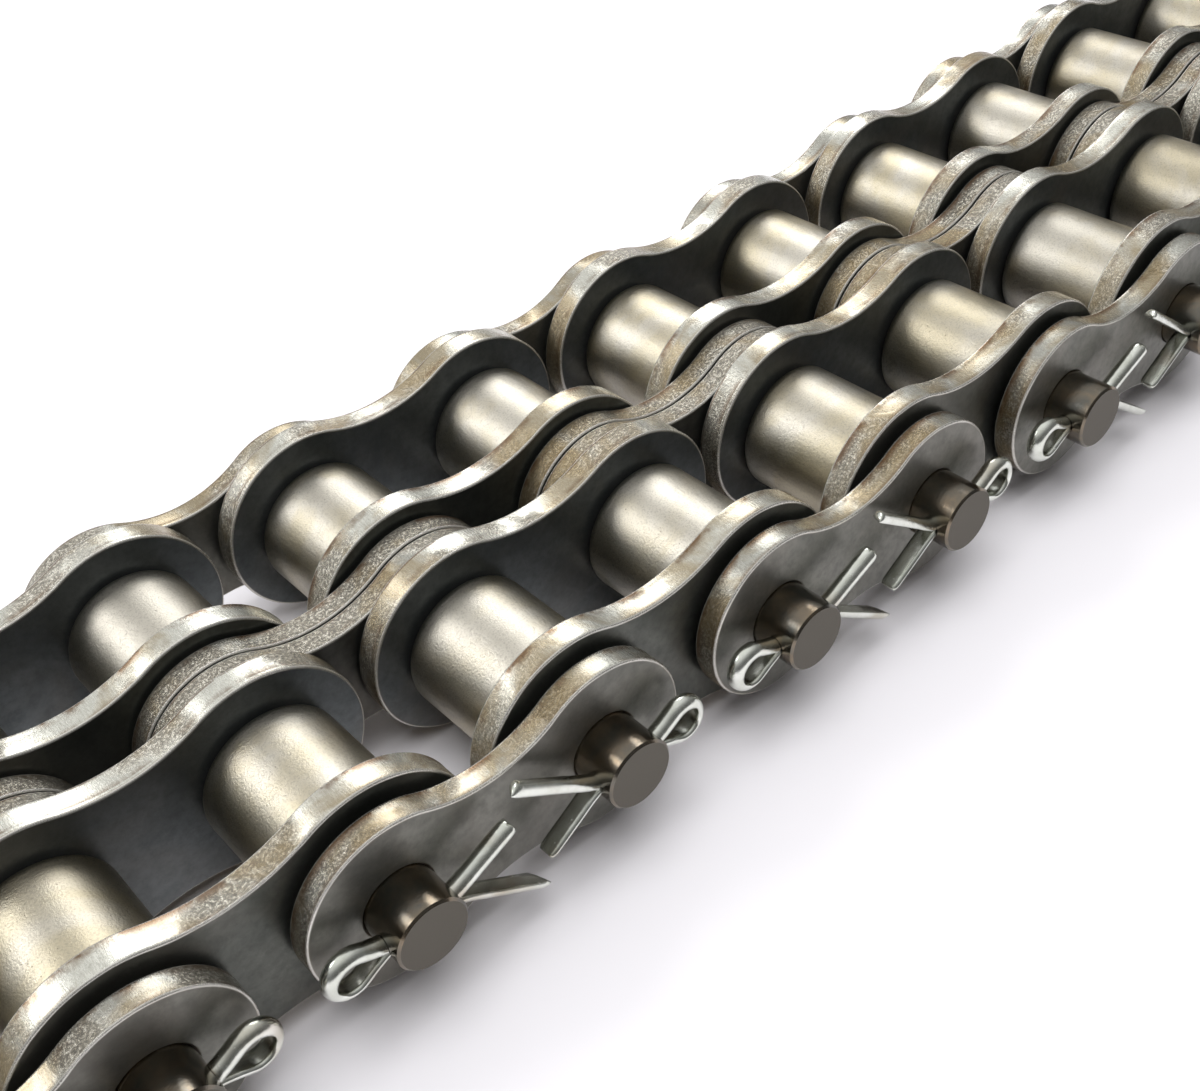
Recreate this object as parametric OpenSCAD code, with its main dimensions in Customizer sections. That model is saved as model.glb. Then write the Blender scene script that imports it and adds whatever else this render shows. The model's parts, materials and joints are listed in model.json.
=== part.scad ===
// Two-strand roller chain with cottered pins, lying straight along +X.
// The origin is on the axis of the near end's bore, halfway between the strands.
// The front strand is on the -Y side, where the cotters are. +Z is up.

/* [Chain] */
// Distance between neighbouring pin axes
pitch = 25.4; // [24:0.1:32]
// Number of roller links, with a pin link between each pair of them
roller_links = 7; // [2:1:7]
// Distance between the middles of the two strands
strand_pitch = 29.29; // [29.2:0.01:32]
// Clear width between the inner plates of a strand
inner_width = 15.9; // [14:0.1:16.2]

/* [Plates] */
// Thickness of an inner plate
inner_plate_t = 3.2; // [2.8:0.1:3.4]
// Thickness of an outer or middle plate
outer_plate_t = 2.9; // [2.5:0.1:3.1]
// Radius of an inner plate's head
inner_head_r = 11.7; // [10.5:0.1:11.9]
// Half height of an inner plate at its waist
inner_waist = 8.95; // [8:0.05:10]
// Radius of an outer plate's head
outer_head_r = 10; // [9:0.1:11]
// Half height of an outer plate at its waist
outer_waist = 6.6; // [6:0.1:8]
// Side play between an inner plate and its neighbouring outer plate
side_play = 0.9; // [0.5:0.1:1.2]
// Gap between the two middle plates of a pin link
middle_gap = 0.2; // [0.1:0.1:0.4]

/* [Pins, bushes and rollers] */
// Diameter of a pin
pin_d = 7.92; // [7:0.01:7.92]
// Bore of a bush
bush_bore_d = 8; // [7.98:0.01:8.02]
// Outer diameter of a bush
bush_d = 11.3; // [10.8:0.1:11.3]
// Bore of a roller
roller_bore_d = 11.42; // [11.4:0.01:11.44]
// Outer diameter of a roller
roller_d = 15.88; // [14.5:0.01:15.88]
// End play of a roller between its plates, both sides together
roller_play = 0.4; // [0.2:0.1:1]
// How far a pin stands out of the front outer plate
pin_out_front = 5.3; // [5:0.1:7]
// How far a pin's head stands out of the back outer plate
pin_out_back = 1.6; // [1.2:0.1:2.5]

/* [Cotters] */
// Diameter of the round that a cotter's two half-round legs make together
cotter_d = 2.2; // [1.8:0.1:2.4]
// Distance of a cotter's axis from its pin's front end
cotter_inset = 2.5; // [2:0.1:2.8]
// Inner radius of a cotter's eye
eye_r = 1.75; // [1.5:0.05:2]
// Distance from a pin's side to the middle of its cotter's eye
eye_distance = 3.7; // [3.3:0.1:4.5]
// Length of a cotter's shorter leg
short_leg = 8; // [6:0.1:8.5]
// Length of a cotter's longer leg
long_leg = 12.5; // [10:0.1:13]
// Angle by which the shorter leg is spread
short_spread = 27; // [15:1:35]
// Angle by which the longer leg is spread
long_spread = 37; // [33:1:42]

/* [Hidden] */
$fn = 64;
pin_links = roller_links - 1;
links = roller_links + pin_links;
stations = links + 1;
strand_y = strand_pitch / 2;
inner_face_y = inner_width / 2;
inner_outside_y = inner_face_y + inner_plate_t;
outer_face_y = strand_y + inner_outside_y + side_play;
front_y = outer_face_y + outer_plate_t;
middle_y = middle_gap / 2;
pin_front_y = front_y + pin_out_front;
pin_back_y = front_y + pin_out_back;
pin_chamfer = 0.25;
head_r = pin_d / 2 + 0.45;
head_t = 0.8;
bush_length = inner_width + 2 * inner_plate_t;
roller_length = inner_width - roller_play;
roller_round = 0.48 * (roller_d - roller_bore_d) / 2;
cotter_hole_r = cotter_d / 2 + 0.1;
cotter_y = pin_front_y - cotter_inset;
leg_t = cotter_d / 2;
wire_width = 0.9 * cotter_d;
fork_x = pin_d / 2 + 0.1;
core_end = 0.4;
eye_x = -fork_x - eye_distance;
past = 1;

function two_digits(n) = n < 10 ? str("0", n) : str(n);
function station_x(s) = (s - 1) * pitch;
function waist_r(head, waist) = (pow(pitch / 2, 2) + waist * waist - head * head) / (2 * (head - waist));

// Outline of a link plate: two heads joined by a waist of two tangent arcs, with a hole at each head.
module plate_outline(head, waist, hole_d) {
    arc_r = waist_r(head, waist);
    arc_y = waist + arc_r;
    touch = head / (head + arc_r);
    touch_x = pitch / 2 * touch;
    touch_y = arc_y * touch;
    difference() {
        union() {
            for (x = [0, pitch]) translate([x, 0]) circle(r = head);
            difference() {
                polygon([
                    [touch_x, -touch_y],
                    [pitch - touch_x, -touch_y],
                    [pitch - touch_x, touch_y],
                    [touch_x, touch_y]
                ]);
                for (y = [-arc_y, arc_y]) translate([pitch / 2, y]) circle(r = arc_r, $fn = 160);
            }
        }
        for (x = [0, pitch]) translate([x, 0]) circle(d = hole_d);
    }
}

// A link plate between y and y + thickness, its first hole on the origin's axis.
module plate(y, thickness, head, waist, hole_d) {
    translate([0, y + thickness, 0])
        rotate([90, 0, 0])
            linear_extrude(height = thickness) plate_outline(head, waist, hole_d);
}

module outer_plate(y) {
    plate(y, outer_plate_t, outer_head_r, outer_waist, pin_d);
}

module inner_plate(y) {
    plate(y, inner_plate_t, inner_head_r, inner_waist, bush_d);
}

// A round of the given profile, turned about the Y axis.
module turned() {
    rotate([-90, 0, 0]) rotate_extrude() children();
}

module outer_link_plates(s) {
    color("dimgray") translate([station_x(s), 0, 0]) {
        outer_plate(-front_y);
        outer_plate(-middle_y - outer_plate_t);
        outer_plate(middle_y);
        outer_plate(outer_face_y);
    }
}

// A pin: chamfered at the cottered front end, with a riveted head behind the back plate.
module pin() {
    r = pin_d / 2;
    difference() {
        turned() polygon([
            [0, -pin_front_y],
            [r - pin_chamfer, -pin_front_y],
            [r, -pin_front_y + pin_chamfer],
            [r, front_y],
            [head_r, front_y],
            [head_r, front_y + head_t],
            [r - pin_chamfer, pin_back_y],
            [0, pin_back_y]
        ]);
        translate([-r - past, -cotter_y, 0])
            rotate([0, 90, 0]) cylinder(r = cotter_hole_r, h = pin_d + 2 * past);
    }
}

module outer_link_pins(s) {
    color("rosybrown") for (x = [station_x(s), station_x(s + 1)]) translate([x, 0, 0]) pin();
}

// A drop: a circle and the two tangents that meet in a point at the given reach along +X.
module drop(r, reach) {
    angle = asin(r / reach);
    circle(r = r);
    polygon([[reach, 0], [r * sin(angle), r * cos(angle)], [r * sin(angle), -r * cos(angle)]]);
}

// Side view of a cotter's wire outside its pin: the eye, the shorter leg bent up and the longer one down.
module cotter_outline() {
    difference() {
        translate([eye_x, 0]) difference() {
            drop(eye_r + leg_t, eye_distance * (eye_r + leg_t) / eye_r);
            drop(eye_r, eye_distance);
        }
        translate([-fork_x, -cotter_d]) square(2 * cotter_d);
    }
    difference() {
        translate([fork_x, 0]) {
            rotate(short_spread) square([short_leg, leg_t]);
            mirror([0, 1]) rotate(long_spread) square([long_leg, leg_t]);
        }
        translate([fork_x - 2 * cotter_d, -cotter_d]) square(2 * cotter_d);
    }
}

// A cotter in a pin at the origin. Its eye points along -X, and its legs spread along +X.
module cotter() {
    translate([0, wire_width / 2, 0])
        rotate([90, 0, 0]) linear_extrude(height = wire_width) cotter_outline();
    translate([-fork_x - core_end, 0, 0])
        rotate([0, 90, 0]) cylinder(d = cotter_d, h = 2 * (fork_x + core_end));
}

module outer_link_cotters(s) {
    color("gainsboro") {
        translate([station_x(s), -cotter_y, 0]) cotter();
        translate([station_x(s + 1), -cotter_y, 0]) rotate([0, 180, 0]) cotter();
    }
}

module inner_link_plates(s) {
    color("slategray") translate([station_x(s), 0, 0]) for (y = [-strand_y, strand_y]) {
        inner_plate(y - inner_outside_y);
        inner_plate(y + inner_face_y);
    }
}

module bush() {
    turned() translate([bush_bore_d / 2, -bush_length / 2])
        square([(bush_d - bush_bore_d) / 2, bush_length]);
}

module inner_link_bushes(s) {
    color("silver") for (x = [station_x(s), station_x(s + 1)], y = [-strand_y, strand_y])
        translate([x, y, 0]) bush();
}

// A roller: a tube with rounded outer edges.
module roller(s, y) {
    bore_r = roller_bore_d / 2;
    round_r = roller_d / 2 - roller_round;
    round_y = roller_length / 2 - roller_round;
    color("lightgray") translate([station_x(s), y, 0]) turned() {
        translate([bore_r, -roller_length / 2]) square([round_r - bore_r, roller_length]);
        translate([bore_r, -round_y]) square([roller_d / 2 - bore_r, 2 * round_y]);
        for (y = [-round_y, round_y]) translate([round_r, y]) circle(r = roller_round);
    }
}

for (n = [1:pin_links]) {
    outer_link_plates(2 * n);
    outer_link_pins(2 * n);
    outer_link_cotters(2 * n);
}
for (n = [1:roller_links]) {
    inner_link_plates(2 * n - 1);
    inner_link_bushes(2 * n - 1);
}
for (s = [1:stations]) {
    roller(s, -strand_y);
    roller(s, strand_y);
}
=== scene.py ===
"""Two-strand roller chain: its looks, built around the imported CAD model, in metres and in its frame."""
import json
import math

import bpy
import numpy as np
from mathutils import Matrix, Vector


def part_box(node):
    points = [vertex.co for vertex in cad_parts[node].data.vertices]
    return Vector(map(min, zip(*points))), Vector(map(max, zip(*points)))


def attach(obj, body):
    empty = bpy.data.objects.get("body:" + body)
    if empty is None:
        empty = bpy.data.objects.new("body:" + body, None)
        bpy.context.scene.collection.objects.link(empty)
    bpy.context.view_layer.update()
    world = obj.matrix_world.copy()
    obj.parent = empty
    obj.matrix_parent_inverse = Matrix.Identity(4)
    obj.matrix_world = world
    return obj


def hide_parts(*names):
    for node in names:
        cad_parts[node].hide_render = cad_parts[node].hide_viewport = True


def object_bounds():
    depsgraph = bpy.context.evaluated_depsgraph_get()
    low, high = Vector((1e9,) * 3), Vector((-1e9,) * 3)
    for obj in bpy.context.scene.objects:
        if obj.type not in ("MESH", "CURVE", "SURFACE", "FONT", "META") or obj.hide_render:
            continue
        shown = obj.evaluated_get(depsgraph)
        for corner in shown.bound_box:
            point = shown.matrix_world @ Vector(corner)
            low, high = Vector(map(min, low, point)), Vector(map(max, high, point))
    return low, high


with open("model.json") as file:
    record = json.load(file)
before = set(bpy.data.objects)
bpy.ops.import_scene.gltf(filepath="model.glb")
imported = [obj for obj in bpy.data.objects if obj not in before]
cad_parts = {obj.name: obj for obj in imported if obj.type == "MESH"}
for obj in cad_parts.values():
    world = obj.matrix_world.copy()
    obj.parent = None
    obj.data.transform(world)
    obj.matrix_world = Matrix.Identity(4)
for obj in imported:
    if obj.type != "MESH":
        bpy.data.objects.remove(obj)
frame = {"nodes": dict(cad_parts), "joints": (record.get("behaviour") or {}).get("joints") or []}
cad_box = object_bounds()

MM = 0.001
FULL_TURN = 2 * math.pi

# ---------------------------------------------------------------- sizes, from the frame where it gives them

joints = {j["name"]: j for j in frame["joints"]}
PITCH = joints["link_hinge_03"]["pos_m"][0] - joints["link_hinge_02"]["pos_m"][0]
STRAND_Y = joints["back_roller_01_spin"]["pos_m"][1]
ROLLER_LINKS = 7
PIN_LINKS = 6
STATIONS = ROLLER_LINKS + PIN_LINKS + 1


def station_x(station):
    """The X of a pin axis, counted from 1 at the near end."""
    return (station - 1) * PITCH


def levels(node):
    """The Y values of a node's flat faces, from front to back."""
    ys = np.array([v.co.y for v in frame["nodes"][node].data.vertices])
    return sorted(set(np.round(ys, 6).tolist()))


def head_radius(node):
    """The radius of a link plate's heads, from how far they reach past its two holes."""
    low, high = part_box(node)
    return (high.x - low.x - PITCH) / 2


OUTER_HEAD = head_radius("outer_link_1_plates")
INNER_HEAD = head_radius("inner_link_1_plates")
# half of a plate's height at its waist
OUTER_WAIST = 6.6 * MM
INNER_WAIST = 8.95 * MM
PIN_R = 3.96 * MM
BUSH_R = 5.65 * MM
ROLLER_LOW, ROLLER_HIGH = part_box("front_roller_01")
ROLLER_R = ROLLER_HIGH.z
ROLLER_BORE = 5.71 * MM
COTTER_LOW, COTTER_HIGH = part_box("outer_link_1_cotters")
COTTER_Y = (COTTER_LOW.y + COTTER_HIGH.y) / 2
FLOOR_Z = cad_box[0][2]

# ---------------------------------------------------------------- material helpers


def fill_ramp(color_ramp, stops):
    """Sets a colour ramp's (position, grey or colour) stops."""
    points = color_ramp.elements
    while len(points) < len(stops):
        points.new(0.5)
    for point, (at, colour) in zip(points, stops):
        point.position = at
        point.color = (*colour, 1) if isinstance(colour, tuple) else (colour, colour, colour, 1)


class Shader:
    """A small builder for a node material around one Principled shader."""

    def __init__(self, name):
        self.material = bpy.data.materials.new(name)
        self.material.use_nodes = True
        self.tree = self.material.node_tree
        self.principled = self.tree.nodes["Principled BSDF"]
        self.place = self.tree.nodes.new("ShaderNodeTexCoord").outputs["Object"]

    def node(self, kind, **settings):
        made = self.tree.nodes.new(kind)
        for key, value in settings.items():
            setattr(made, key, value)
        return made

    def link(self, out, into):
        self.tree.links.new(out, into)

    def put(self, socket, value):
        if isinstance(value, bpy.types.NodeSocket):
            self.link(value, socket)
        else:
            socket.default_value = value

    def set(self, **values):
        """Sets or links the shader's sockets: base_color=..., roughness=..., and so on."""
        for key, value in values.items():
            self.put(self.principled.inputs[key.replace("_", " ").title()], value)

    def stretched(self, scale):
        """Object coordinates, scaled along each axis."""
        mapping = self.node("ShaderNodeMapping")
        mapping.inputs["Scale"].default_value = scale
        self.link(self.place, mapping.inputs["Vector"])
        return mapping.outputs["Vector"]

    def noise(self, per_m, detail, rough, where=None, warp=0.0):
        """Noise with about per_m features to the metre, from 0 to 1."""
        made = self.node("ShaderNodeTexNoise")
        self.link(where or self.place, made.inputs["Vector"])
        made.inputs["Scale"].default_value = per_m
        made.inputs["Detail"].default_value = detail
        made.inputs["Roughness"].default_value = rough
        made.inputs["Distortion"].default_value = warp
        return made.outputs["Fac"]

    def cells(self, per_m):
        """The distance to the nearest of about per_m scattered points to the metre."""
        made = self.node("ShaderNodeTexVoronoi")
        self.link(self.place, made.inputs["Vector"])
        made.inputs["Scale"].default_value = per_m
        return made.outputs["Distance"]

    def ramp(self, value, *stops):
        """A map of value through (position, grey or colour) stops."""
        made = self.node("ShaderNodeValToRGB")
        self.link(value, made.inputs["Fac"])
        fill_ramp(made.color_ramp, stops)
        return made.outputs["Color"]

    def math(self, operation, a, b=0.0):
        made = self.node("ShaderNodeMath", operation=operation)
        self.put(made.inputs[0], a)
        self.put(made.inputs[1], b)
        return made.outputs["Value"]

    def mix(self, share, a, b):
        """Colour a where share is 0 and b where it is 1, through the Mix node's colour sockets."""
        made = self.node("ShaderNodeMix", data_type="RGBA")
        self.put(made.inputs["Factor"], share)
        self.put(made.inputs[6], a if isinstance(a, bpy.types.NodeSocket) else (*a, 1))
        self.put(made.inputs[7], b if isinstance(b, bpy.types.NodeSocket) else (*b, 1))
        return made.outputs[2]

    def axis_of_normal(self, axis):
        """One part of the true normal, in the object's own axes."""
        turned = self.node("ShaderNodeVectorTransform", vector_type="NORMAL")
        turned.convert_from, turned.convert_to = "WORLD", "OBJECT"
        self.link(self.node("ShaderNodeNewGeometry").outputs["True Normal"], turned.inputs["Vector"])
        parts = self.node("ShaderNodeSeparateXYZ")
        self.link(turned.outputs["Vector"], parts.inputs["Vector"])
        return parts.outputs[axis]

    def attribute(self, name):
        return self.node("ShaderNodeAttribute", attribute_name=name).outputs["Fac"]

    def bump(self, *layers):
        """Relief from (height from 0 to 1, depth in metres) layers, one over another."""
        normal = None
        for height, depth in layers:
            made = self.node("ShaderNodeBump")
            made.inputs["Strength"].default_value = 1.0
            made.inputs["Distance"].default_value = depth
            self.link(height, made.inputs["Height"])
            if normal is not None:
                self.link(normal, made.inputs["Normal"])
            normal = made.outputs["Normal"]
        self.link(normal, self.principled.inputs["Normal"])


# ---------------------------------------------------------------- materials


def plate_steel(name, face_dark, face_light, face_rough, band_tone, torn_share):
    """Heat-treated plate: dark satin faces, and a lighter sheared edge where the attribute "edge" is 1.

    band_tone is the edge's brightness, and torn_share says how much of it is torn, from 0 to 1.
    """
    s = Shader(name)
    edge = s.attribute("edge")
    depth = s.attribute("depth")
    wear = s.ramp(edge, (0.25, 0.0), (0.6, 1.0))
    # faces: mottled dark oxide with smudges
    cloud = s.noise(150, 5, 0.6, warp=0.4)
    smudge = s.noise(55, 3, 0.5, warp=0.8)
    fine = s.noise(3000, 3, 0.6)
    face = s.mix(s.ramp(cloud, (0.3, 0.0), (0.7, 1.0)), face_dark, face_light)
    fleck = s.ramp(s.noise(900, 5, 0.7), (0.40, 0.0), (0.68, 1.0))
    face = s.mix(s.math("MULTIPLY", fleck, 0.35), face, tuple(0.5 * part for part in face_dark))
    smudge = s.ramp(smudge, (0.5, 0.0), (0.75, 1.0))
    face = s.mix(s.math("MULTIPLY", smudge, 0.45), face, (0.23, 0.205, 0.175))
    # sheared edge: fine grain drawn across the plate's thickness, with pits
    across = s.stretched((1.0, 0.2, 1.0))
    grain = s.noise(5200, 4, 0.65, where=across)
    speck = s.noise(5600, 4, 0.7)
    pits = s.ramp(speck, (0.34, 1.0), (0.43, 0.0))
    stain = s.noise(70, 4, 0.6, warp=0.6)
    tones = (0.37, 0.366, 0.325), (0.425, 0.422, 0.378), (0.51, 0.507, 0.458)
    dark, middle, light = (tuple(band_tone * part for part in tone) for tone in tones)
    band = s.ramp(grain, (0.3, dark), (0.5, middle), (0.7, light))
    # the side of each head that faces -X, and some patches, are torn into bright and dark crystals
    leading = s.ramp(s.math("MULTIPLY", s.axis_of_normal(0), -1.0), (0.40, 0.0), (0.80, 1.0))
    patch = s.ramp(s.noise(95, 3, 0.5), (0.60 - 0.3 * torn_share, 0.0), (0.70 - 0.3 * torn_share, 1.0))
    rough = s.math("MAXIMUM", s.math("MULTIPLY", leading, 0.9), patch)
    crystals = s.noise(3300, 5, 0.75)
    broken = s.ramp(
        crystals,
        (0.38, (0.085, 0.072, 0.055)),
        (0.50, (0.25, 0.219, 0.168)),
        (0.60, (0.68, 0.645, 0.565)),
    )
    band = s.mix(s.math("MULTIPLY", rough, 0.75), band, broken)
    band = s.mix(s.math("MULTIPLY", pits, 0.38), band, (0.09, 0.08, 0.062))
    # oil stains, rust along the rims, and a painted highlight along each rounded corner
    gold = s.ramp(stain, (0.46, 0.0), (0.58, 1.0))
    band = s.mix(s.math("MULTIPLY", gold, 0.62), band, (0.285, 0.205, 0.088))
    rim = s.ramp(depth, (0.0, 0.5), (0.2, 0.0), (0.60, 0.0), (0.95, 1.0))
    rust = s.math("MULTIPLY", s.ramp(s.noise(170, 5, 0.65), (0.47, 0.0), (0.56, 1.0)), rim)
    band = s.mix(s.math("MULTIPLY", rust, 0.85), band, (0.135, 0.068, 0.027))
    # painted highlight: a near-white line across the rim's rounding, where the "edge" value runs from about
    # 0.35 to 1
    band = s.mix(s.ramp(edge, (0.35, 0.0), (0.5, 0.8), (0.85, 0.8), (0.99, 0.0)), band, (0.82, 0.80, 0.74))
    s.set(
        base_color=s.mix(wear, face, band),
        metallic=0.86,
        roughness=s.mix(
            wear,
            s.ramp(s.mix(0.4, cloud, fleck), (0.2, face_rough - 0.06), (0.8, face_rough + 0.10)),
            s.mix(rough, s.ramp(grain, (0.2, 0.23), (0.8, 0.31)), (0.26, 0.26, 0.26)),
        ),
    )
    torn = s.math("MULTIPLY", s.math("MULTIPLY", rough, wear), crystals)
    s.bump(
        (fine, 0.010 * MM),
        (s.math("MULTIPLY", s.math("ADD", grain, speck), wear), 0.009 * MM),
        (torn, 0.11 * MM),
    )
    return s.material


def roller_steel():
    """Satin silver-beige, drawn round the roller, with fine pits, oil stains, and painted shade darkening
    its ends and bore.
    """
    s = Shader("roller_steel")
    end = s.attribute("edge")
    drawn = s.noise(1500, 4, 0.6, where=s.stretched((1.0, 2.6, 1.0)))
    grit = s.noise(4500, 3, 0.7)
    cloud = s.noise(190, 4, 0.55, warp=0.3)
    stain = s.noise(60, 4, 0.6, warp=0.5)
    pits = s.ramp(s.cells(1500), (0.05, 1.0), (0.13, 0.0))
    pits = s.math("MULTIPLY", pits, s.ramp(s.noise(420, 2, 0.5, warp=0.5), (0.54, 0.0), (0.64, 1.0)))
    colour = s.mix(cloud, (0.50, 0.470, 0.402), (0.66, 0.625, 0.548))
    stain = s.ramp(stain, (0.44, 0.0), (0.60, 1.0))
    colour = s.mix(s.math("MULTIPLY", stain, 0.6), colour, (0.48, 0.41, 0.25))
    hollows = s.ramp(grit, (0.35, 1.0), (0.5, 0.0))
    colour = s.mix(s.math("MULTIPLY", hollows, 0.42), colour, (0.25, 0.225, 0.19))
    # painted shade: the ends and the bore, where the "edge" value is high, are darkened
    colour = s.mix(s.math("MULTIPLY", end, 0.65), colour, (0.15, 0.14, 0.13))
    colour = s.mix(s.math("MULTIPLY", pits, 0.8), colour, (0.13, 0.10, 0.075))
    s.set(
        base_color=colour,
        metallic=1.0,
        roughness=s.ramp(drawn, (0.2, 0.29), (0.8, 0.38)),
    )
    s.bump((drawn, 0.005 * MM), (grit, 0.042 * MM), (s.math("SUBTRACT", 1.0, pits), 0.02 * MM))
    return s.material


def pin_steel():
    """Grey-brown matte ends and a browned side."""
    s = Shader("pin_steel")
    cloud = s.noise(260, 4, 0.6, warp=0.4)
    turned = s.noise(1500, 4, 0.6, where=s.stretched((1.0, 3.0, 1.0)))
    speck = s.noise(3800, 3, 0.6)
    facing = s.math("ABSOLUTE", s.axis_of_normal(1))
    end = s.ramp(facing, (0.75, 0.0), (0.95, 1.0))
    side = s.mix(s.ramp(cloud, (0.35, 0.0), (0.7, 1.0)), (0.145, 0.142, 0.125), (0.265, 0.205, 0.14))
    s.set(
        base_color=s.mix(end, side, (0.138, 0.127, 0.106)),
        metallic=1.0,
        roughness=s.mix(end, s.ramp(turned, (0.2, 0.15), (0.8, 0.23)), (0.55, 0.55, 0.55)),
    )
    s.bump((turned, 0.006 * MM), (speck, 0.008 * MM))
    return s.material


def bush_steel():
    """Dull silver-brown, turned round the bush."""
    s = Shader("bush_steel")
    cloud = s.noise(240, 4, 0.6, warp=0.3)
    turned = s.noise(1500, 4, 0.6, where=s.stretched((1.0, 3.0, 1.0)))
    s.set(
        base_color=s.mix(cloud, (0.36, 0.335, 0.30), (0.50, 0.47, 0.43)),
        metallic=1.0,
        roughness=s.ramp(turned, (0.2, 0.26), (0.8, 0.40)),
    )
    s.bump((turned, 0.006 * MM))
    return s.material


def cotter_zinc():
    """Bright zinc wire with a slight yellow-green cast and drawing marks."""
    s = Shader("cotter_zinc")
    cloud = s.noise(420, 4, 0.6, warp=0.5)
    marks = s.noise(2200, 4, 0.65)
    colour = s.mix(s.ramp(cloud, (0.3, 0.0), (0.7, 1.0)), (0.66, 0.68, 0.60), (0.86, 0.88, 0.82))
    brown = s.ramp(s.noise(110, 3, 0.5), (0.52, 0.0), (0.64, 1.0))
    colour = s.mix(s.math("MULTIPLY", brown, 0.6), colour, (0.42, 0.33, 0.23))
    s.set(
        base_color=colour,
        metallic=1.0,
        roughness=s.ramp(marks, (0.2, 0.15), (0.8, 0.30)),
    )
    s.bump((marks, 0.010 * MM), (cloud, 0.03 * MM))
    return s.material


OUTER_STEEL = plate_steel(
    "outer_plate_steel",
    face_dark=(0.148, 0.147, 0.130),
    face_light=(0.25, 0.247, 0.216),
    face_rough=0.36,
    band_tone=1.0,
    torn_share=0.4,
)
MIDDLE_STEEL = plate_steel(
    "middle_plate_steel",
    face_dark=(0.08, 0.08, 0.074),
    face_light=(0.14, 0.138, 0.125),
    face_rough=0.40,
    band_tone=0.95,
    torn_share=1.0,
)
INNER_STEEL = plate_steel(
    "inner_plate_steel",
    face_dark=(0.085, 0.090, 0.080),
    face_light=(0.165, 0.170, 0.150),
    face_rough=0.34,
    band_tone=1.4,
    torn_share=0.4,
)
# painted shade: a copy of the inner plate steel with lighter, blue-green faces, standing in for the cool
# shade on the back plates' faces that look into the recess
RECESS_SHADE_STEEL = plate_steel(
    "inner_back_plate_shade_tint_steel",
    face_dark=(0.132, 0.147, 0.151),
    face_light=(0.21, 0.226, 0.229),
    face_rough=0.34,
    band_tone=1.4,
    torn_share=0.4,
)
ROLLER_STEEL = roller_steel()
PIN_STEEL = pin_steel()
BUSH_STEEL = bush_steel()
COTTER_ZINC = cotter_zinc()

# ---------------------------------------------------------------- mesh helpers


def new_piece(name, vertices, faces, material, **attributes):
    """A smooth mesh object with named values at its vertices."""
    mesh = bpy.data.meshes.new(name)
    mesh.from_pydata([tuple(v) for v in vertices], [], [tuple(f) for f in faces])
    mesh.polygons.foreach_set("use_smooth", [True] * len(mesh.polygons))
    for key, values in attributes.items():
        mesh.attributes.new(key, "FLOAT", "POINT").data.foreach_set("value", np.array(values, np.float32))
    mesh.materials.append(material)
    made = bpy.data.objects.new(name, mesh)
    bpy.context.scene.collection.objects.link(made)
    return made


def set_on(piece, body, node):
    """Makes a piece ride on a body and stand for a CAD node, which it hides."""
    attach(piece, body)
    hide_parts(node)


def reface(node, material):
    """Gives a CAD node this material in place of its own."""
    slots = frame["nodes"][node].data.materials
    slots.clear()
    slots.append(material)


class Sheet:
    """Vertices and faces that grow ring by ring."""

    def __init__(self):
        self.points, self.faces, self.edge, self.depth = [], [], [], []

    def ring(self, points, edge=0.0, depth=0.0):
        start = len(self.points)
        self.points += [tuple(p) for p in points]
        self.edge += [edge] * len(points)
        self.depth += [depth] * len(points)
        return list(range(start, start + len(points)))

    def bridge(self, a, b, closed):
        """Quads between two rings of as many points each."""
        count = len(a)
        for i in range(count if closed else count - 1):
            j = (i + 1) % count
            self.faces.append((a[i], b[i], b[j], a[j]))


# ---------------------------------------------------------------- plates

PLATE_BEVEL = 0.30 * MM
HOLE_CHAMFER = 0.22 * MM
SUPPORT = 0.06 * MM
WAIST_STEPS = 26
HEAD_STEPS = 116
MID_STEPS = 9
BEVEL_STEPS = 4
BAND_STEPS = 7
# how far each ring of a face lies on the way from the hole to the rim
FACE_SHARES = (0.0, 0.1, 0.35, 0.65, 0.92, 1.0)
# how much of the waist's height the column of points down the plate's middle spans
MIDDLE_SHARE = 0.98
# how far the sheared edge draws in at its torn side, over half of the thickness
TEAR = 0.045 * MM
# the "edge" value at the hole's wall, at its chamfer's rim and where the rim's rounding begins
WALL_EDGE, CHAMFER_EDGE, BEVEL_EDGE = 0.45, 0.3, 0.35
WELD = 0.002 * MM


def half_outline(head, waist):
    """Points (x, z) and outward normals of half an outline.

    They run from the middle of the top edge, round the head at the origin, to the middle of the bottom edge.
    """
    half = PITCH / 2
    arc_r = (half**2 + waist**2 - head**2) / (2 * (head - waist))
    arc_z = waist + arc_r
    lean = math.atan2(arc_z, half)
    turn = np.linspace(-math.pi / 2, lean - math.pi, WAIST_STEPS + 1)[:-1]
    top = np.stack([half + arc_r * np.cos(turn), arc_z + arc_r * np.sin(turn)], 1)
    top_normal = -np.stack([np.cos(turn), np.sin(turn)], 1)
    turn = np.linspace(lean, FULL_TURN - lean, HEAD_STEPS + 1)
    round_head = head * np.stack([np.cos(turn), np.sin(turn)], 1)
    head_normal = round_head / head
    flip = np.array([1, -1])
    points = np.concatenate([top, round_head, top[::-1] * flip])
    normals = np.concatenate([top_normal, head_normal, top_normal[::-1] * flip])
    return points, normals


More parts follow.
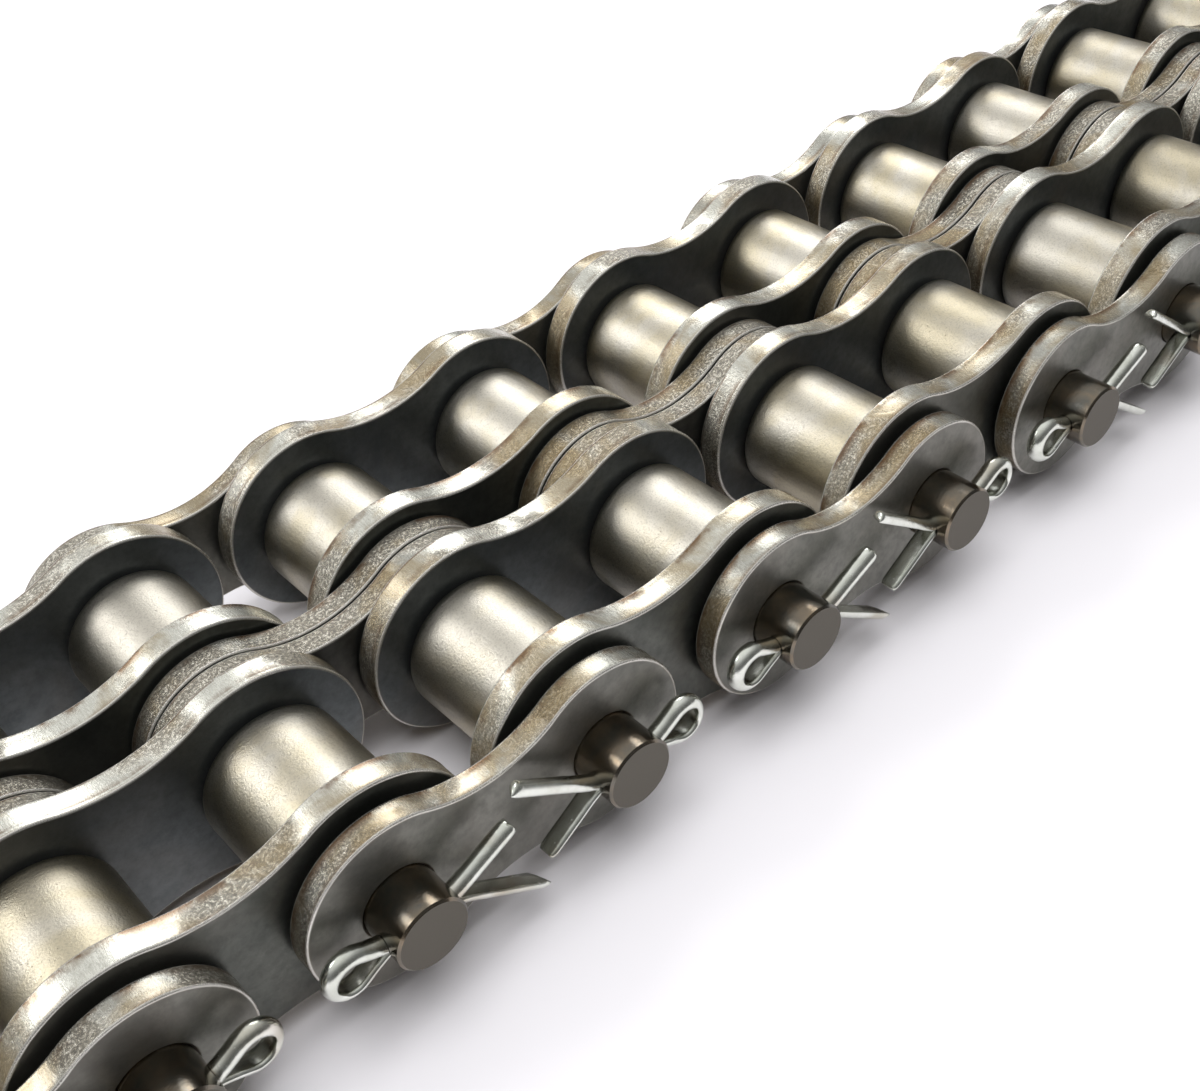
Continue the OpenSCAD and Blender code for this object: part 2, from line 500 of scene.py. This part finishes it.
def plate_half(sheet, x0, side, y0, y1, head, waist, hole_r, torn_side):
    """Half of a plate, from its hole to the middle, mirrored along X where side is -1.

    torn_side is 1 where the sheared edge is torn at the back face, and -1 where it is torn at the front one.
    """
    points, normals = half_outline(head, waist)
    outer_count = len(points)
    middle_z = np.linspace(-1, 1, MID_STEPS + 2)[1:-1] * (waist - PLATE_BEVEL) * MIDDLE_SHARE
    middle = np.stack([np.full(MID_STEPS, PITCH / 2), middle_z], 1)
    rim_points = np.concatenate([points, middle])
    inset = np.concatenate([points - normals * (PLATE_BEVEL + SUPPORT), middle])
    inset[[0, outer_count - 1], 0] = PITCH / 2
    bearing = rim_points / np.linalg.norm(rim_points, axis=1)[:, None]
    thickness = y1 - y0

    def ring(flat, y, edge=0.0, depth=0.0):
        x = x0 + side * flat[:, 0] if side > 0 else x0 + PITCH - flat[:, 0]
        y = np.broadcast_to(y, len(flat))
        return sheet.ring(np.stack([x, y, flat[:, 1]], 1), edge, depth)

    def face(y, inward):
        """Rings of a flat face from the hole's chamfer to the rim; inward points into the plate."""
        rings = [ring(bearing * hole_r, y + inward * HOLE_CHAMFER, WALL_EDGE)]
        rings.append(ring(bearing * (hole_r + HOLE_CHAMFER), y, CHAMFER_EDGE))
        start = bearing * (hole_r + HOLE_CHAMFER + SUPPORT)
        for share in FACE_SHARES:
            rings.append(ring(start + (inset - start) * share, y))
        return rings

    def bevel(y, inward):
        """The rim's rounding, from the face to the side band."""
        rings = []
        depth = 0.0 if inward > 0 else 1.0
        for step in range(BEVEL_STEPS + 1):
            a = math.pi / 2 * step / BEVEL_STEPS
            flat = points - normals * PLATE_BEVEL * (1 - math.sin(a))
            flat[[0, -1], 0] = PITCH / 2
            # the "edge" value rises across the rounding, which also carries the painted highlight there
            edge = BEVEL_EDGE + (1 - BEVEL_EDGE) * step / BEVEL_STEPS
            rings.append(ring(flat, y + inward * PLATE_BEVEL * (1 - math.cos(a)), edge, depth))
        return rings

    front, back = face(y0, 1), face(y1, -1)
    front_bevel, back_bevel = bevel(y0, 1), bevel(y1, -1)
    band = []
    for step in range(1, BAND_STEPS):
        share = step / BAND_STEPS
        y = y0 + PLATE_BEVEL + (thickness - 2 * PLATE_BEVEL) * share
        depth = share if torn_side > 0 else 1 - share
        tear = TEAR * max(0.0, (depth - 0.5) / 0.5)
        flat = points - normals * tear
        flat[[0, -1], 0] = PITCH / 2
        band.append(ring(flat, y, 1.0, depth))
    # the front's rings run from the hole outwards, and the back's are turned over
    before = len(sheet.faces)
    for a, b in zip(front, front[1:]):
        sheet.bridge(a, b, True)
    for a, b in zip(back, back[1:]):
        sheet.bridge(b, a, True)
    sheet.bridge(back[0], front[0], True)
    strip = [front[-1][:outer_count], *front_bevel, *band, *reversed(back_bevel), back[-1][:outer_count]]
    for a, b in zip(strip, strip[1:]):
        sheet.bridge(a, b, False)
    if side < 0:
        sheet.faces[before:] = [tuple(reversed(f)) for f in sheet.faces[before:]]


def plate(name, station, y0, y1, head, waist, hole_r, material, torn_side):
    """A punched link plate from the given station to the next."""
    sheet = Sheet()
    for side in (1, -1):
        plate_half(sheet, station_x(station), side, y0, y1, head, waist, hole_r, torn_side)
    made = new_piece(name, sheet.points, sheet.faces, material, edge=sheet.edge, depth=sheet.depth)
    made.modifiers.new("weld", "WELD").merge_threshold = WELD
    return made


def link_plates(link, station, head, waist, hole_r, plates):
    """The four plates of a link, from front to back, between the Y levels of its CAD node."""
    node = f"{link}_plates"
    ys = levels(node)
    for (part, torn_side, steel), low, high in zip(plates, ys[::2], ys[1::2]):
        name = f"{link}_{part}"
        made = plate(name, station, low, high, head, waist, hole_r, steel, torn_side)
        set_on(made, link, node)


OUTER_PLATES = (
    ("front_plate", 1, OUTER_STEEL),
    ("middle_front_plate", -1, MIDDLE_STEEL),
    ("middle_back_plate", 1, MIDDLE_STEEL),
    ("back_plate", -1, OUTER_STEEL),
)
INNER_PLATES = (
    ("front_strand_front_plate", 1, INNER_STEEL),
    ("front_strand_back_plate", -1, RECESS_SHADE_STEEL),
    ("back_strand_front_plate", 1, INNER_STEEL),
    ("back_strand_back_plate", -1, RECESS_SHADE_STEEL),
)

for n in range(1, PIN_LINKS + 1):
    link_plates(f"outer_link_{n}", 2 * n, OUTER_HEAD, OUTER_WAIST, PIN_R, OUTER_PLATES)
for n in range(1, ROLLER_LINKS + 1):
    link_plates(f"inner_link_{n}", 2 * n - 1, INNER_HEAD, INNER_WAIST, BUSH_R, INNER_PLATES)

# ---------------------------------------------------------------- rollers, pins and bushes

ROLLER_ROUND = 1.1 * MM
ROUND_STEPS = 6
BORE_CHAMFER = 0.2 * MM
BARREL_SUPPORT = 0.3 * MM
TURN_STEPS = 96
# the painted shade on a roller's end faces and in its bore, kept in its "edge" value, and how it fades round
# the shoulders
END_SHADE, BORE_SHADE, SHADE_FADE = 0.9, 0.6, 0.7


def lathe(name, x, profile, material):
    """A closed profile of (radius, y, edge) points turned about the Y axis through x."""
    sheet = Sheet()
    rings = []
    turn = np.linspace(0, FULL_TURN, TURN_STEPS, endpoint=False)
    for r, y, edge in profile:
        points = np.stack([x + r * np.cos(turn), np.full(TURN_STEPS, y), r * np.sin(turn)], 1)
        rings.append(sheet.ring(points, edge))
    for a, b in zip(rings, rings[1:] + rings[:1]):
        sheet.bridge(a, b, True)
    return new_piece(name, sheet.points, sheet.faces, material, edge=sheet.edge)


def roller_profile(y_mid):
    """Bore, end faces and barrel of a roller, with rounded shoulders, anticlockwise."""
    half = (ROLLER_HIGH.y - ROLLER_LOW.y) / 2
    round_r, round_y = ROLLER_R - ROLLER_ROUND, half - ROLLER_ROUND
    points = [(ROLLER_BORE + BORE_CHAMFER, -half, END_SHADE), (round_r - SUPPORT, -half, END_SHADE)]
    for step in range(ROUND_STEPS + 1):
        a = math.pi / 2 * step / ROUND_STEPS
        edge = END_SHADE * (1 - step / ROUND_STEPS) ** SHADE_FADE
        points.append((round_r + ROLLER_ROUND * math.sin(a), -round_y - ROLLER_ROUND * math.cos(a), edge))
    points.append((ROLLER_R, -round_y + BARREL_SUPPORT, 0.0))
    mirrored = [(r, -y, edge) for r, y, edge in reversed(points)]
    middle = [(ROLLER_R, 0.0, 0.0)]
    bore = [(ROLLER_BORE, y, BORE_SHADE) for y in (half - BORE_CHAMFER, BORE_CHAMFER - half)]
    return [(r, y + y_mid, edge) for r, y, edge in points + middle + mirrored + bore]


for strand, sign in (("front", -1), ("back", 1)):
    for station in range(1, STATIONS + 1):
        name = f"{strand}_roller_{station:02d}"
        made = lathe(name + "_shell", station_x(station), roller_profile(sign * STRAND_Y), ROLLER_STEEL)
        set_on(made, name, name)

for n in range(1, PIN_LINKS + 1):
    reface(f"outer_link_{n}_pins", PIN_STEEL)
for n in range(1, ROLLER_LINKS + 1):
    reface(f"inner_link_{n}_bushes", BUSH_STEEL)

# ---------------------------------------------------------------- cotters

WIRE_R = 1.08 * MM
EYE_R = 1.75 * MM
EYE_REACH = 3.7 * MM
SHORT_LEG = 8 * MM
LONG_LEG = 12.5 * MM
# how far each cotter's short and long legs are bent, in degrees: by hand, so not quite alike
SPREADS = {"near": (23, 37), "far": (31, 38)}
# the wire's halves part at the forks, just outside the pin, and inside it each lies LEG_GAP from the axis
FORK_X = PIN_R + 0.1 * MM
LEG_GAP = 0.03 * MM
# how far inside each fork the wire already runs straight
FORK_REACH = 0.7 * MM
ROUTE_STEP = 0.28 * MM
BOW_STEPS = 6
WIRE_SIDES = 12
# how far the flat side's edges are raised, so that they aren't sharp
FLAT_RISE = 0.06 * MM
# the wire's width at a leg's tip and at the next two rings, as a share of the whole
TIP_PINCH = (0.80, 0.93, 0.98)
# the long leg's tip is cut aslant: one side of it ends sooner by SLANT, over the leg's last SLANT_REACH
SLANT = 1.4 * MM
SLANT_REACH = 3.0 * MM


def smooth_route(points, step):
    """A Catmull-Rom curve through the points, sampled about every step."""
    points = np.array(points, float)
    ends = np.concatenate([[2 * points[0] - points[1]], points, [2 * points[-1] - points[-2]]])
    out = []
    for i in range(1, len(ends) - 2):
        a, b, c, d = ends[i - 1 : i + 3]
        count = max(2, int(np.linalg.norm(c - b) / step))
        linear, square, cubic = c - a, 2 * a - 5 * b + 4 * c - d, 3 * b - a - 3 * c + d
        for t in np.linspace(0, 1, count, endpoint=False):
            out.append(0.5 * (2 * b + linear * t + square * t**2 + cubic * t**3))
    out.append(ends[-2])
    return np.array(out)


def half_route(length, degrees):
    """The wire's flat side, above the cotter's axis, from a leg's tip to the top of the eye."""
    spread = math.radians(degrees)
    way = np.array([math.cos(spread), math.sin(spread)])
    leg = [tuple(np.array([FORK_X, LEG_GAP]) + way * length * share) for share in (1.0, 0.7, 0.4, 0.12)]
    inside = [(x, LEG_GAP) for x in (FORK_X - FORK_REACH, 0, FORK_REACH - FORK_X)]
    eye_x = -FORK_X - EYE_REACH
    lean = math.asin(EYE_R / EYE_REACH)
    flank_x = EYE_REACH * 0.42
    flank = [(-FORK_X, 0.1 * MM), (-FORK_X - flank_x, flank_x * math.tan(lean) * 0.96)]
    turn = np.linspace(math.pi / 2 - lean, math.pi, BOW_STEPS + 1)[:-1]
    bow = [(eye_x + EYE_R * math.cos(a), EYE_R * math.sin(a)) for a in turn]
    return leg + inside + flank + bow


def cotter_route(spreads):
    """The whole wire in the X-Z plane, from the short leg's tip round the eye to the long leg's tip."""
    upper = half_route(SHORT_LEG, spreads[0])
    lower = [(x, -z) for x, z in half_route(LONG_LEG, spreads[1])]
    end = (-FORK_X - EYE_REACH - EYE_R, 0.0)
    return smooth_route(upper + [end] + lower[::-1], ROUTE_STEP)


def cotter(name, x, side, spreads):
    """Half-round wire swept along its route.

    side is 1 with the eye towards -X, and -1 for the same cotter turned over.
    """
    route = cotter_route(spreads)
    along = np.gradient(route, axis=0)
    along /= np.linalg.norm(along, axis=1)[:, None]
    # the round side faces outwards, away from the wire's other half
    outward = np.stack([along[:, 1], -along[:, 0]], 1)
    sheet = Sheet()
    rings = []
    turn = np.linspace(0, math.pi, WIRE_SIDES + 1)
    across = np.concatenate([np.cos(turn) * WIRE_R, [-WIRE_R * 0.5, 0, WIRE_R * 0.5]])
    out = np.concatenate([np.sin(turn) * (WIRE_R - FLAT_RISE) + FLAT_RISE, [0, 0, 0]])
    count = len(route)
    run = np.concatenate([[0], np.cumsum(np.linalg.norm(np.diff(route, axis=0), axis=1))])
    for i, (point, normal) in enumerate(zip(route, outward)):
        tip = min(i, count - 1 - i)
        pinch = TIP_PINCH[tip] if tip < len(TIP_PINCH) else 1.0
        near_tip = max(0.0, 1 - (run[-1] - run[i]) / SLANT_REACH)
        back = SLANT * near_tip * (across / WIRE_R + 1) / 2
        flat = point + normal * (out * pinch)[:, None] - along[i] * back[:, None]
        ring = np.stack([x + side * flat[:, 0], COTTER_Y + across * pinch, side * flat[:, 1]], 1)
        rings.append(sheet.ring(ring))
    for a, b in zip(rings, rings[1:]):
        sheet.bridge(a, b, True)
    sheet.faces.append(tuple(rings[0]))
    sheet.faces.append(tuple(reversed(rings[-1])))
    return new_piece(name, sheet.points, sheet.faces, COTTER_ZINC)


for n in range(1, PIN_LINKS + 1):
    for end, station, side in (("near", 2 * n, 1), ("far", 2 * n + 1, -1)):
        made = cotter(f"outer_link_{n}_{end}_cotter", station_x(station), side, SPREADS[end])
        set_on(made, f"outer_link_{n}", f"outer_link_{n}_cotters")

# ---------------------------------------------------------------- floor, light and camera

FLOOR_REACH = 12.0
# the point that the lights face
LIT_MIDDLE = Vector((0.14, 0, 0))
# the direction in which the room is brightest
BRIGHT_WAY = (0.0, 0.5, 0.866)
CAMERA_PLACE = Vector((45.0, -108.35, 111.74)) * MM
CAMERA_RIGHT = Vector((0.7416, -0.6638, -0.0968))
CAMERA_VIEW = Vector((0.4513, 0.6005, -0.6601))


def floor():
    """A pale matte floor under the chain."""
    s = Shader("pale_floor")
    s.set(base_color=(0.87, 0.85, 0.885, 1), roughness=0.75, metallic=0.0)
    mesh = bpy.data.meshes.new("floor")
    corners = ((-1, -1), (1, -1), (1, 1), (-1, 1))
    mesh.from_pydata([(x * FLOOR_REACH, y * FLOOR_REACH, FLOOR_Z) for x, y in corners], [], [(0, 1, 2, 3)])
    mesh.materials.append(s.material)
    made = bpy.data.objects.new("floor", mesh)
    bpy.context.scene.collection.objects.link(made)


def softbox(name, azimuth, elevation, distance, size, radiance):
    """A round light that faces the chain from the given direction, with the same radiance at any size."""
    a, e = math.radians(azimuth), math.radians(elevation)
    towards = Vector((math.cos(e) * math.cos(a), math.cos(e) * math.sin(a), math.sin(e)))
    lamp = bpy.data.lights.new(name, "AREA")
    lamp.shape = "DISK"
    lamp.size = size
    lamp.energy = radiance * math.pi * math.pi * (size / 2) ** 2
    made = bpy.data.objects.new(name, lamp)
    made.location = LIT_MIDDLE + towards * distance
    made.rotation_euler = (-towards).to_track_quat("-Z", "Y").to_euler()
    bpy.context.scene.collection.objects.link(made)
    return made


def sky():
    """A pale room, brightest above and behind the chain and darkest behind the photographer."""
    world = bpy.data.worlds.new("studio")
    world.use_nodes = True
    tree = world.node_tree
    way = tree.nodes.new("ShaderNodeTexCoord").outputs["Generated"]
    height = tree.nodes.new("ShaderNodeVectorMath")
    height.operation = "DOT_PRODUCT"
    height.inputs[1].default_value = BRIGHT_WAY
    ramp = tree.nodes.new("ShaderNodeValToRGB")
    tree.links.new(way, height.inputs[0])
    tree.links.new(height.outputs["Value"], ramp.inputs["Fac"])
    fill_ramp(ramp.color_ramp, ((0.0, 0.13), (0.35, 0.27), (0.7, 0.66), (1.0, 0.95)))
    # the backdrop seen past the floor's edge is one plain tone, like the floor's far side
    seen = tree.nodes.new("ShaderNodeMix")
    seen.data_type = "RGBA"
    seen.inputs[7].default_value = (0.42, 0.41, 0.43, 1)
    tree.links.new(tree.nodes.new("ShaderNodeLightPath").outputs["Is Camera Ray"], seen.inputs["Factor"])
    tree.links.new(ramp.outputs["Color"], seen.inputs[6])
    tree.links.new(seen.outputs[2], tree.nodes["Background"].inputs["Color"])
    bpy.context.scene.world = world


def camera():
    """The photograph's view: close above the near, cottered side, looking along the chain."""
    lens = bpy.data.cameras.new("camera")
    lens.sensor_width = 36
    lens.lens = 44.15
    lens.clip_start = 0.005
    made = bpy.data.objects.new("camera", lens)
    view = CAMERA_VIEW.normalized()
    right = (CAMERA_RIGHT - view * CAMERA_RIGHT.dot(view)).normalized()
    up = right.cross(view)
    turn = Matrix((right, up, -view)).transposed().to_4x4()
    turn.translation = CAMERA_PLACE
    made.matrix_world = turn
    bpy.context.scene.collection.objects.link(made)
    bpy.context.scene.camera = made


floor()
sky()
softbox("softbox_far_right", azimuth=52, elevation=36, distance=1.2, size=0.5, radiance=5.0)
softbox("softbox_far_left", azimuth=130, elevation=36, distance=1.2, size=0.46, radiance=5.0)
fill = softbox("overhead_fill", azimuth=262, elevation=80, distance=1.5, size=1.4, radiance=3.8)
fill.visible_glossy = False
camera()
bpy.context.scene.view_settings.view_transform = "Standard"
